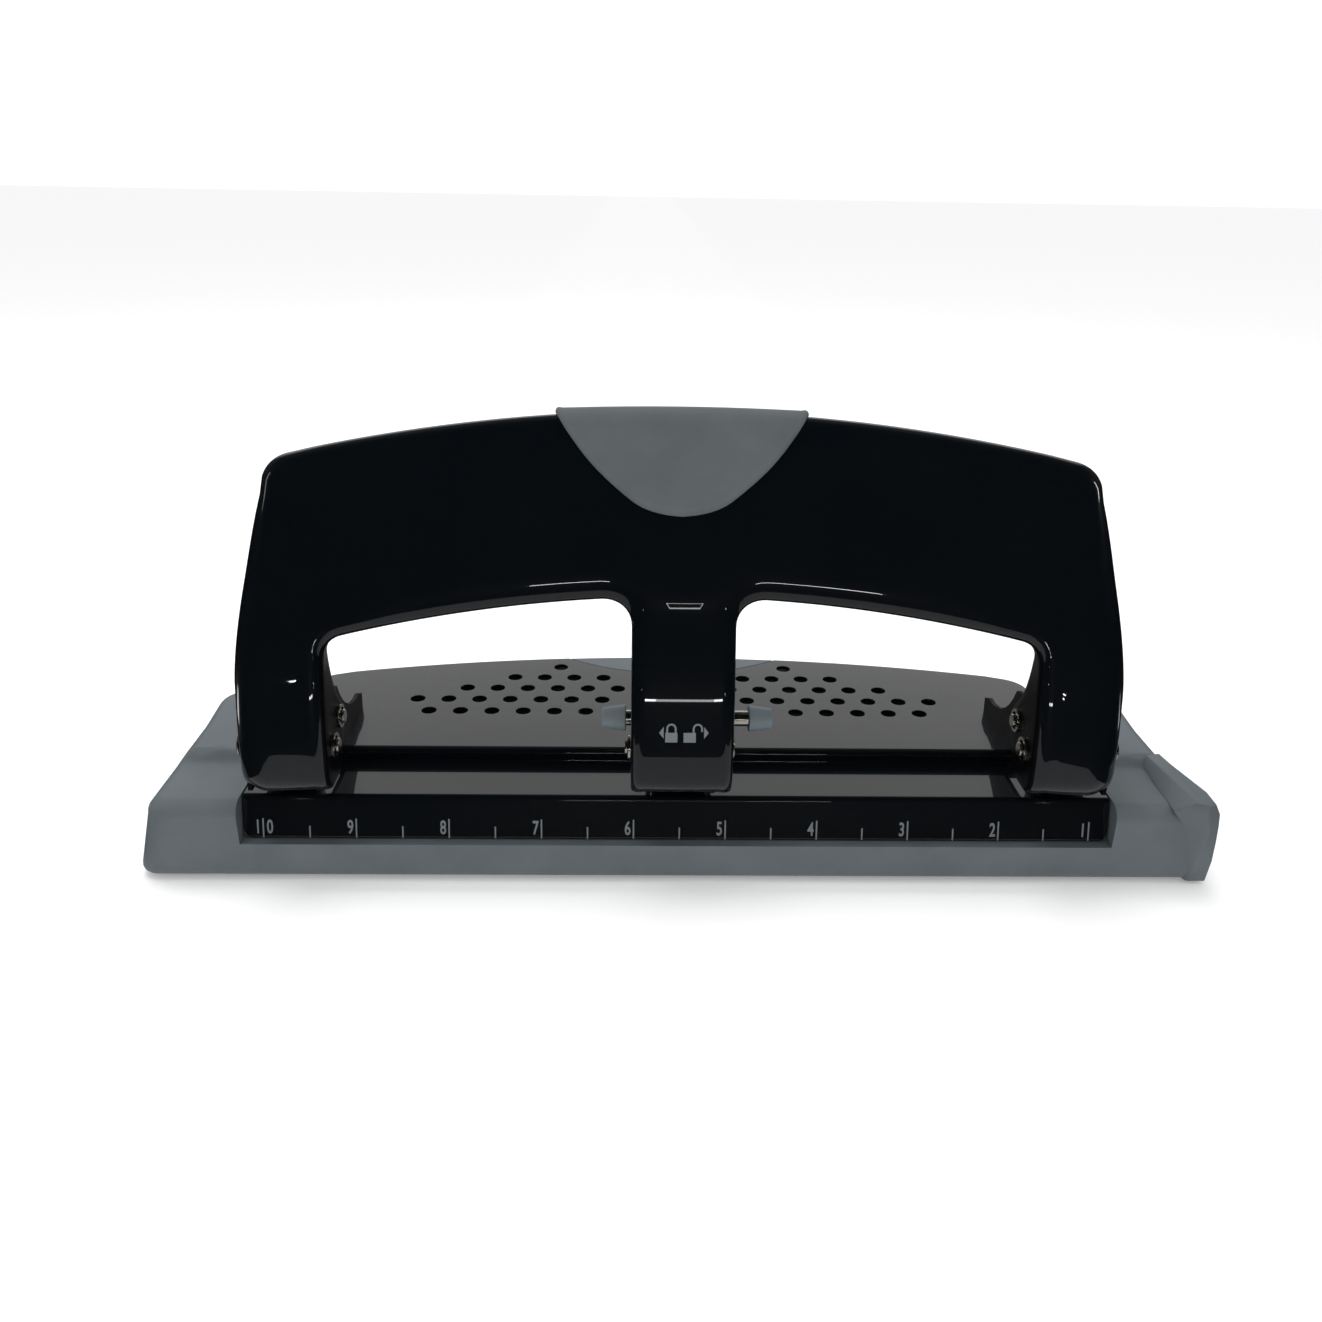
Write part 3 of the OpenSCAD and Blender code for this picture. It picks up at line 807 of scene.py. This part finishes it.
def strip_half(z):
    """Half width of the bent sheet, rounded at the ruler's lower corners."""
    rise = min(LIP_CORNER, z + RULER_H)
    inset = LIP_CORNER - math.sqrt(LIP_CORNER ** 2 - (LIP_CORNER - rise) ** 2)
    return SHELF_HALF - inset


def deck_outline(seam):
    """Plan of the deck: two rounded corners and the bite for the tab."""
    corner_y = back_edge_y(DECK_HALF) - 7.5
    corner = arc(DECK_HALF - 9, corner_y, 9, 0, 72, 8)
    side = [(DECK_HALF, y) for y in span(DECK_FRONT, corner_y - 3, 5)]
    back = [(x, back_edge_y(x)) for x in span(104.5, TAB_HALF, 3)]
    bite = [(x, scallop_y(x)) for x in span(TAB_HALF - 1.4, 0, 1.4)]
    right = side + corner + back + bite
    left = [(-x, y) for x, y in reversed(right[:-1])]
    front = [(x, DECK_FRONT) for x in seam[1:-1]]
    return right + left[:-1] + front[:-1]


def punchings():
    """Round holes of the deck, in staggered rows on both sides."""
    stagger = math.sin(math.radians(60))
    return [arc(side * (first + i) * PERF_PITCH,
                PERF_Y + row * PERF_PITCH * stagger, PERF_D / 2, 0, 345, 23)
            for side in (-1, 1)
            for row, (first, count) in enumerate(PERF_ROWS) for i in range(count)]


def frame_plate():
    """Ruler lip, paper shelf and perforated deck, bent from one sheet."""
    mesh = Mesh()
    seam = [-SHELF_HALF, *span(-DECK_HALF, DECK_HALF, 5), SHELF_HALF]
    mesh.bridge([[(x * strip_half(z) / SHELF_HALF, y, z) for x in seam]
                 for y, z in plate_profile()])
    loop = deck_outline(seam)
    verts, faces = fill(loop, span(-110, 110, 10), span(30, 84, 9), 2.5, punchings())
    mesh.sheet(verts, faces, lambda x, y: (x, y, DECK_Z))
    plate = mesh.raw("plate_sheet", 0.01, (0, 0, 1))
    thicken(plate, PLATE_T, 0.2)
    for x0 in HEADS.values():
        cut(plate, prism("die", arc(x0, PUNCH_Y, DIE_D / 2, 0, 345, 23), -4, 4))
    return finish_piece(plate, "frame", "black_enamel", ["frame_plate"], 45, True)


# ---- the tray
TOP_R, FOOT_R, JOG = 4.4, 3.2, 2.0
STEP = (20.6, DECK_FRONT)


def tray_outline(half):
    """Plan of the tray at one half length, as a closed line of points."""
    front = [((half - 5.5) * i / 24, -TRAY_LIP) for i in range(25)]
    corner = arc(half - 5.5, -TRAY_LIP + 5.5, 5.5, -90, 0, 10)
    rear_y = back_edge_y(half) - 10
    side = [(half, y) for y in (9, 13, 17, 19.6, 20.6, 21.4, 22.2, 23, 23.8,
                                24.6, 25.6, 29, 35, 42, rear_y)]
    near = back_edge_y(half - 14) - 1
    turn = [(half - 14 * (i / 8) ** 2, rear_y + (near - rear_y) * (1 - (1 - i / 8) ** 2))
            for i in range(9)]
    back = [(x, back_edge_y(x) - 1) for x in
            ((half - 14) * (1 - i / 24) for i in range(1, 25))]
    right = front[1:] + corner[1:] + side + turn[1:] + back
    return [front[0]] + right + [(-x, y) for x, y in reversed(right[:-1])]


def deck_rise(y):
    """Height of the tray's top: level in front, a step, level behind."""
    return TRAY_BACK_Z * smooth_step(y, *STEP)


def tray_half(z):
    """Half length of the drafted tray at a height."""
    share = (z - TRAY_FLOOR) / -TRAY_FLOOR
    return TRAY_FOOT_HALF + (TRAY_TOP_HALF - TRAY_FOOT_HALF) * share


def tray_body():
    """Drafted tub with soft edges, hollowed for the plate and the chips."""
    levels = [(TRAY_FLOOR + FOOT_R * (1 - math.cos(t)), FOOT_R * (1 - math.sin(t)), 0)
              for t in (math.radians(a) for a in span(0, 90, 18))]
    levels += [(z, 0, 0) for z in (-15, -10)]
    levels += [(0, 0, a) for a in span(0, 90, 15)]
    mesh = Mesh()
    rows = []
    for z, inset, angle in levels:
        line = tray_outline(tray_half(z if angle == 0 and z else -TOP_R))
        normals = inward(line, closed=True)
        row = []
        for (x, y), (nx, ny) in zip(line, normals):
            level, off = z, inset
            if z == 0:
                r = TOP_R - 3.0 * smooth_step(y, 45, 62)
                t = math.radians(angle)
                level = deck_rise(y) - r + r * math.sin(t)
                off = r * (1 - math.cos(t)) + JOG * deck_rise(y) / TRAY_BACK_Z
            row.append((x - nx * off, y - ny * off, level))
        rows.append(row)
    mesh.bridge(rows, closed=True)
    ring = [(x, y) for x, y, _ in rows[-1]]
    ys = span(2, 19, 4) + span(*STEP, 0.5) + span(27, 86, 7)
    verts, faces = fill(ring, span(-138, 138, 6), ys, 1.5)
    mesh.sheet(verts, faces, lambda x, y: (x, y, deck_rise(y)))
    base = [(x, y) for x, y, _ in rows[0]]
    verts, faces = fill(base, span(-140, 140, 20), span(5, 80, 15), 2)
    mesh.sheet(verts, faces, lambda x, y: (x, y, TRAY_FLOOR))
    body = mesh.raw("tray_body", 0.01)
    hollow_tray(body)
    break_edges(body, 0.3, 55)
    return finish_piece(body, "tray", "grey_plastic", ["tray"], 35, True)


def hollow_tray(body):
    """Cuts the plate's seat, the chip bin, the end pockets and the foot rings."""
    seat = [(-10, -12.1), (1.6, -12.1), (3.9, -2.8), (5.3, -1.35),
            (STEP[1], -1.35), (STEP[1], 30), (-10, 30)]
    cut(body, prism("seat_cut", seat, -120.1, 120.1, "x"))
    chip = arc(110, 8.5, 3, -90, 0, 5) + arc(110, back_edge_y(113) - 9, 3, 0, 80, 5)
    chip += [(x, back_edge_y(x) - 5) for x in span(104, 0, 6)]
    chip += [(-x, y) for x, y in reversed(chip[:-1])]
    cut(body, prism("bin_cut", chip, TRAY_FLOOR + 2.5, 60))
    for side in (-1, 1):
        wing = [(side * x, y) for x, y in ((116, 4), (137, 4), (141, 9), (141, 52),
                                            (129, 60), (116, 62))]
        cut(body, prism("wing_cut", wing, TRAY_FLOOR - 2, -4))
        for y in (12, 62):
            ring = arc(side * 98, y, 6, 0, 350, 35)
            cut(body, prism("foot_cut", ring, TRAY_FLOOR - 2, TRAY_FLOOR + 0.7))


# levels of the paper fence, each eight corners round from the inner back
FENCE = [
    (3.5, ((137.4, 23.0), (138.9, 8.0), (140.4, -5.0), (142.8, -6.3),
           (145.2, -5.2), (145.6, 1.5), (142.4, 17.5), (141.6, 24.0))),
    (0.0, ((136.6, 23.6), (135.4, 9.0), (135.0, -2.75), (143.2, -6.5),
           (147.2, -4.9), (146.5, 1.5), (143.9, 18.0), (142.8, 24.2))),
    (-4.0, ((138.0, 22.0), (138.0, 9.0), (138.0, -2.75), (144.5, -6.2),
            (147.8, -4.6), (147.1, 2.0), (144.6, 18.0), (143.4, 24.0))),
    (-9.0, ((139.0, 20.0), (139.0, 9.0), (140.4, -2.75), (144.5, -5.4),
            (148.4, -4.1), (147.8, 3.0), (145.6, 18.0), (144.0, 23.0))),
    (-16.0, ((139.0, 20.0), (139.0, 9.0), (141.9, -2.75), (144.1, -4.1),
             (148.9, -3.5), (148.6, 4.0), (146.8, 18.0), (145.0, 22.0))),
    (-23.1, ((139.0, 20.0), (139.0, 9.0), (142.9, -2.6), (143.7, -2.85),
             (148.6, -2.8), (148.6, 5.0), (146.0, 18.0), (144.0, 22.0))),
]


def paper_fence():
    """Raised stop at the right end that guides the edge of the paper."""
    mesh = Mesh()
    rows = mesh.bridge([[(x, y, z) for x, y in corners] for z, corners in FENCE],
                       closed=True)
    mesh.cap(rows[0])
    mesh.cap(rows[-1])
    fence = mesh.raw("paper_fence")
    break_edges(fence, 1.3, 24, 4)
    return finish_piece(fence, "tray", "grey_plastic", (), 40)


# ---- small fittings
HEADS = {"left": -HOLE_PITCH, "middle": 0.0, "right": HOLE_PITCH}
SPRING_WIRE, SPRING_R, COILS = 0.9, 2.8, 11


def return_springs():
    """Closed coils on each pivot pin; the moving arm hooks the drive pin."""
    half = COILS * SPRING_WIRE / 2
    for head, x0 in HEADS.items():
        coil = Mesh()
        path = [(x0 - half + SPRING_WIRE * k / 20,
                 PIVOT[0] + SPRING_R * math.sin(2 * math.pi * k / 20),
                 PIVOT[1] - SPRING_R * math.cos(2 * math.pi * k / 20))
                for k in range(20 * COILS + 1)]
        end = path[-1]
        path += [(end[0], end[1] + d, end[2]) for d in (1.5, 3, 4.5, 6)]
        tube(coil, path, SPRING_WIRE / 2, 8)
        coil.piece("spring_coil_" + head, "frame", "bright_steel",
                   ["return_spring_" + head])
        arm = Mesh()
        low = PIVOT[1] - SPRING_R
        path = [(x0 - half - 0.1, PIVOT[0] - 0.4, low),
                (x0 - half - 0.5, PIVOT[0] + 2.0, low + 0.3),
                (x0 - half - 0.8, PIVOT[0] + 4.6, low + 2.6),
                (x0 - half - 0.8, DRIVE[0] - 0.6, DRIVE[1] - 2.4),
                (x0 - half - 0.8, DRIVE[0] + 1.8, DRIVE[1] - 2.0),
                (x0 - half - 0.8, DRIVE[0] + 2.6, DRIVE[1] - 0.9)]
        tube(arm, path, SPRING_WIRE / 2, 8)
        arm.piece("spring_arm_" + head, "lever", "bright_steel")


def ring_clip(mesh, x, y, z, pin_d, turn, thick=0.6):
    """An E-shaped retaining ring: three claws on the groove, open one side."""
    groove, outer = pin_d / 2 - 0.3, pin_d / 2 + 1.45
    angles = span(32, 328, 4)
    rim = [(outer, a) for a in angles]
    claws = []
    for a in reversed(angles):
        near = min(abs(a - c) for c in (44, 180, 316))
        claws.append((groove + 0.95 * smooth_step(near, 13, 24), a))
    outline = [(y + r * math.cos(math.radians(a + turn)),
                z + r * math.sin(math.radians(a + turn))) for r, a in rim + claws]
    rows = mesh.bridge([[(x + dx, py, pz) for py, pz in outline]
                        for dx in (0, thick)], closed=True)
    count = len(angles)
    for row in rows:
        for i in range(count - 1):
            mesh.faces.append((row[i], row[i + 1], row[2 * count - 2 - i],
                               row[2 * count - 1 - i]))


def retaining_rings():
    """Clips on the pivot pins and the drive pins, inside the outer legs."""
    inner = LEG_INNER - 0.15
    pivot, drive = Mesh(), Mesh()
    for x in (-inner, inner - 0.6):
        ring_clip(pivot, x, *PIVOT, 4.0, -20)
        ring_clip(drive, x, *DRIVE, 3.6, 160)
    ring_clip(pivot, -MID_LEG - 0.75, *PIVOT, 4.0, -70)
    pivot.piece("pivot_rings", "frame", "nickel", ["pivot_clips"], smooth=40)
    drive.piece("drive_rings", "lever", "nickel", ["drive_clips"], smooth=40)


def fittings():
    """The machined and moulded small parts, with their edges broken."""
    for head in HEADS:
        soften("bracket_" + head, "frame", "black_enamel", 0.25, paint=SATIN)
        soften("punch_guide_" + head, "frame", "bright_steel", 0.3)
        soften("punch_" + head, head + "_punch", "bright_steel", 0.2)
        soften("pivot_pin_" + head, "frame", "nickel", 0.25)
    for side in ("left", "right"):
        soften("drive_pin_" + side, "lever", "nickel", 0.25)
        soften("lock_knob_" + side, "lock", "knob_plastic", 0.4, 3)
    soften("bracket_rivets", "frame", "nickel", 0.3)
    soften("lock_bolt", "lock", "nickel", 0.15)
    soften("release_tab", "tray", "grey_plastic", 0.35)
    soften("rubber_feet", "tray", "black_rubber", 0.25)


# ---- the print
INK_LIFT = 0.03
TICK_FOOT, TICK_W, INCH_TICK, HALF_TICK = -RULER_H, 0.42, 5.35, 3.3
# numerals: height, capital height per font size, and how condensed they are
NUMERAL_H, CAP_SHARE, CONDENSED = 3.7, 0.7, 0.66


def stroke(mesh, points, width, lift):
    """A printed line of one width along points on a surface."""
    normals = inward(points)
    rows = [[(x + nx * w, z + nz * w) for (x, z), (nx, nz) in zip(points, normals)]
            for w in (-width / 2, width / 2)]
    mesh.bridge([[lift(x, z) for x, z in row] for row in rows])


def on_strip(x, z):
    """Just in front of the ruler face."""
    return x, lip_y(z) - INK_LIFT, z


def on_web(x, z):
    """Just in front of the handle."""
    return x, front_y(x, z) - INK_LIFT, z


def numeral(text, x, z):
    """A plain condensed numeral on the ruler strip, by its right edge."""
    data = bpy.data.curves.new("numeral", "FONT")
    data.body = text
    data.size = NUMERAL_H / CAP_SHARE
    data.align_x = "RIGHT"
    data.offset = 0.02 * NUMERAL_H / CAP_SHARE
    obj = bpy.data.objects.new("numeral", data)
    bpy.context.scene.collection.objects.link(obj)
    graph = bpy.context.evaluated_depsgraph_get()
    flat = bpy.data.meshes.new_from_object(obj.evaluated_get(graph))
    points = [on_strip(x + v.co.x * CONDENSED, z + v.co.y) for v in flat.vertices]
    faces = [tuple(p.vertices) for p in flat.polygons]
    bpy.data.objects.remove(obj)
    bpy.data.curves.remove(data)
    bpy.data.meshes.remove(flat)
    return points, faces


def ruler_print():
    """Inches counted from the fence, with half-inch ticks between them."""
    mesh = Mesh()
    for k in range(1, 11):
        x = FENCE_X - INCH * k
        ticks = [(x, INCH_TICK)] + ([(x - INCH / 2, HALF_TICK)] if k < 10 else [])
        for at, height in ticks:
            stroke(mesh, [(at, TICK_FOOT), (at, TICK_FOOT + height)], TICK_W, on_strip)
        parts = [(str(k), x - 0.75)] if k < 10 else [("1", x - 0.6), ("0", x + 2.7)]
        for text, right in parts:
            points, faces = numeral(text, right, TICK_FOOT + 1.25)
            ids = mesh.add(points)
            mesh.faces += [tuple(ids[i] for i in face) for face in faces]
    marks = mesh.raw("ruler_print", 0.001, (0, -1, 0))
    return finish_piece(marks, "frame", "ink")


def padlock(mesh, x, z, bow_shift, arrow):
    """A small padlock, its shackle moved aside if open, and its arrow."""
    half, top, bow_r = 1.6, z + 2.6, 1.1
    body = [(x - half, z), (x + half, z), (x + half, top), (x - half, top)]
    mesh.sheet(body, [(0, 1, 2, 3)], on_web)
    bow = arc(x + bow_shift, top + bow_r, bow_r, 180, 0, 10)
    lift = 0.25 if bow_shift else 0.0
    bow = [(bow[0][0], top)] + bow + [(bow[-1][0], top + lift)]
    stroke(mesh, bow, 0.5, on_web)
    point = math.copysign(1.2, arrow)
    tip = [(x + arrow + point, top), (x + arrow, top - half), (x + arrow, top + half)]
    mesh.sheet(tip, [(0, 1, 2)], on_web)


def lock_print():
    """The locked and open signs on the middle leg."""
    mesh = Mesh()
    padlock(mesh, -3.05, 21.6, 0, -2.0)
    padlock(mesh, 1.75, 21.6, 2.1, 3.75)
    marks = mesh.raw("lock_print", 0.001, (0, -1, 0))
    return finish_piece(marks, "lever", "ink")


# ---- camera and studio
def camera():
    """At the photograph's angle: a fitted position and three turns."""
    focal_px, frame_px, sensor = 1151.3, 1322, 36.0
    pitch, yaw, roll = (math.radians(a) for a in (23.63, 1.48, 1.06))
    data = bpy.data.cameras.new("camera")
    data.sensor_width = sensor
    data.lens = focal_px / frame_px * sensor
    data.clip_start, data.clip_end = 0.01, 20
    obj = bpy.data.objects.new("camera", data)
    base = Matrix(((1, 0, 0), (0, 0, -1), (0, 1, 0)))
    turn = (Matrix.Rotation(roll, 3, "Z") @ Matrix.Rotation(pitch, 3, "X")
            @ Matrix.Rotation(-yaw, 3, "Y") @ base)
    flip = Matrix(((1, 0, 0), (0, -1, 0), (0, 0, -1)))
    obj.matrix_world = Matrix.Translation(place(-13.0, -272.5, 161.5)) @ (
        turn.transposed() @ flip).to_4x4()
    bpy.context.scene.collection.objects.link(obj)
    bpy.context.scene.camera = obj


def soft_box(name, start, aim, size, power, roll=0.0):
    """An area light at a shelf point, facing another, in millimetres."""
    data = bpy.data.lights.new(name, "AREA")
    data.shape = "RECTANGLE"
    data.size, data.size_y = size[0] * MM, size[1] * MM
    data.energy = power
    obj = bpy.data.objects.new(name, data)
    start, end = place(*start), place(*aim)
    obj.location = start
    turn = (end - start).to_track_quat("-Z", "Y").to_matrix()
    obj.rotation_euler = (turn @ Matrix.Rotation(math.radians(roll), 3, "Z")).to_euler()
    obj.visible_camera = False
    bpy.context.scene.collection.objects.link(obj)
    return obj


def paper_sheet(name, tone, glow):
    """Matt paper of one grey tone, with a faint grain and its own glow."""
    mat, tree, shader, coords = new_material(name, (tone,) * 3, 0.9)
    shader.inputs["Specular IOR Level"].default_value = 0.1
    shader.inputs["Emission Color"].default_value = (1, 1, 1, 1)
    shader.inputs["Emission Strength"].default_value = glow
    grain = noise(tree, coords, 60, 3)
    tree.links.new(tint(tree, grain.outputs["Fac"], (tone - 0.01,) * 3,
                        (tone + 0.01,) * 3), shader.inputs["Base Color"])
    return mat


def floor():
    """Pale paper for the eye, and a greyer sheet that only gloss reflects."""
    edge = place(0, -178, 0).y
    for name, half, near, tone, glow in (("floor", 6.0, -4.0, 0.9, 0.2),
                                         ("floor_in_gloss", 0.16, edge, 0.48, 0.0)):
        mesh = bpy.data.meshes.new(name)
        mesh.from_pydata([(-half, near, 0), (half, near, 0), (half, 6, 0),
                          (-half, 6, 0)], [], [(0, 1, 2, 3)])
        mesh.materials.append(paper_sheet(name + "_paper", tone, glow))
        obj = bpy.data.objects.new(name, mesh)
        bpy.context.scene.collection.objects.link(obj)
        in_gloss = name == "floor_in_gloss"
        obj.visible_glossy = in_gloss
        obj.visible_camera = obj.visible_diffuse = obj.visible_shadow = not in_gloss


# the wall that gloss sees: axis of the direction, low, high, start, end
WALL = [("Y", 0.004, 0.74, 0.02, 0.3), ("Z", 0.05, 1.0, 0.02, 0.2),
        ("Z", 1.0, 0.12, 0.58, 0.68), ("X", 0.05, 1.0, -0.6, -0.42),
        ("X", 1.0, 0.05, 0.42, 0.6)]


def math_node(tree, operation, a, b):
    """Output of a maths node on two linked values."""
    node = tree.nodes.new("ShaderNodeMath")
    node.operation = operation
    tree.links.new(a, node.inputs[0])
    tree.links.new(b, node.inputs[1])
    return node.outputs[0]


def room():
    """White to the eye; gloss sees one pale wall low behind the punch."""
    world = bpy.data.worlds.new("room")
    bpy.context.scene.world = world
    world.use_nodes = True
    tree = world.node_tree
    coords = tree.nodes.new("ShaderNodeTexCoord")
    split = tree.nodes.new("ShaderNodeSeparateXYZ")
    tree.links.new(coords.outputs["Generated"], split.inputs["Vector"])
    seen, *gates = [remap(tree, split.outputs[axis], *limits)
                    for axis, *limits in WALL]
    for gate in gates:
        seen = math_node(tree, "MULTIPLY", seen, gate)
    lit = remap(tree, split.outputs["Y"], 0.62, 1.05, -1.0, 1.0)
    path = tree.nodes.new("ShaderNodeLightPath")
    gloss = tree.nodes.new("ShaderNodeMix")
    tree.links.new(path.outputs["Is Glossy Ray"], gloss.inputs["Factor"])
    tree.links.new(lit, gloss.inputs["A"])
    tree.links.new(seen, gloss.inputs["B"])
    eye = math_node(tree, "MAXIMUM", gloss.outputs["Result"],
                    path.outputs["Is Camera Ray"])
    tree.links.new(eye, tree.nodes["Background"].inputs["Strength"])
    tree.nodes["Background"].inputs["Color"].default_value = (1, 1, 1, 1)


# lights that only show in gloss: name, place, aim, size, power, roll in degrees
GLINTS = [
    ("window_left", (-52, -1100, 62), (0, 0, 40), (94, 12), 0.1, 0),
    ("window_middle", (60, -1100, 62), (0, 0, 40), (130, 14), 0.045, 0),
    ("window_right", (178, -1100, 62), (0, 0, 40), (106, 12), 0.11, 0),
    ("left_glint", (-419, -1100, 121), (0, 0, 40), (18, 5), 0.012, 20),
    ("right_glint", (497, -1100, 91), (0, 0, 40), (28, 4), 0.016, -16),
    ("low_glint", (490, -1100, 74), (0, 0, 40), (17, 4), 0.01, -24),
    ("left_wall", (-620, -60, 330), (0, 0, 40), (60, 200), 0.1, 0),
    ("right_wall", (620, -60, 330), (0, 0, 40), (40, 160), 0.3, 0),
    ("left_floor", (-285, 60, -22), (-285, 60.1, 60), (110, 22), 0.02, 0),
    ("right_floor", (285, 60, -22), (285, 60.1, 60), (110, 12), 0.006, 0),
]


def studio():
    """Floor, surround, one broad light from above, and the glints in the gloss."""
    floor()
    room()
    bpy.context.scene.view_settings.view_transform = "Standard"
    sky = soft_box("top_light", (-150, 200, 900), (0, 20, 20), (700, 500), 4.6)
    sky.visible_glossy = False
    for name, *rest in GLINTS:
        light = soft_box(name, *rest)
        light.visible_diffuse = False


def dress_cad():
    """Every CAD node that stays gets its slot's procedural material."""
    slots = {row["node"]: row["material_slot"] for row in frame["record"]["subparts"]}
    for name, obj in frame["nodes"].items():
        for part in obj.material_slots:
            part.material = MATS[slots[name]]


camera()
dress_cad()
handle_shell()
grip_insert()
frame_plate()
tray_body()
paper_fence()
return_springs()
retaining_rings()
fittings()
ruler_print()
lock_print()
studio()
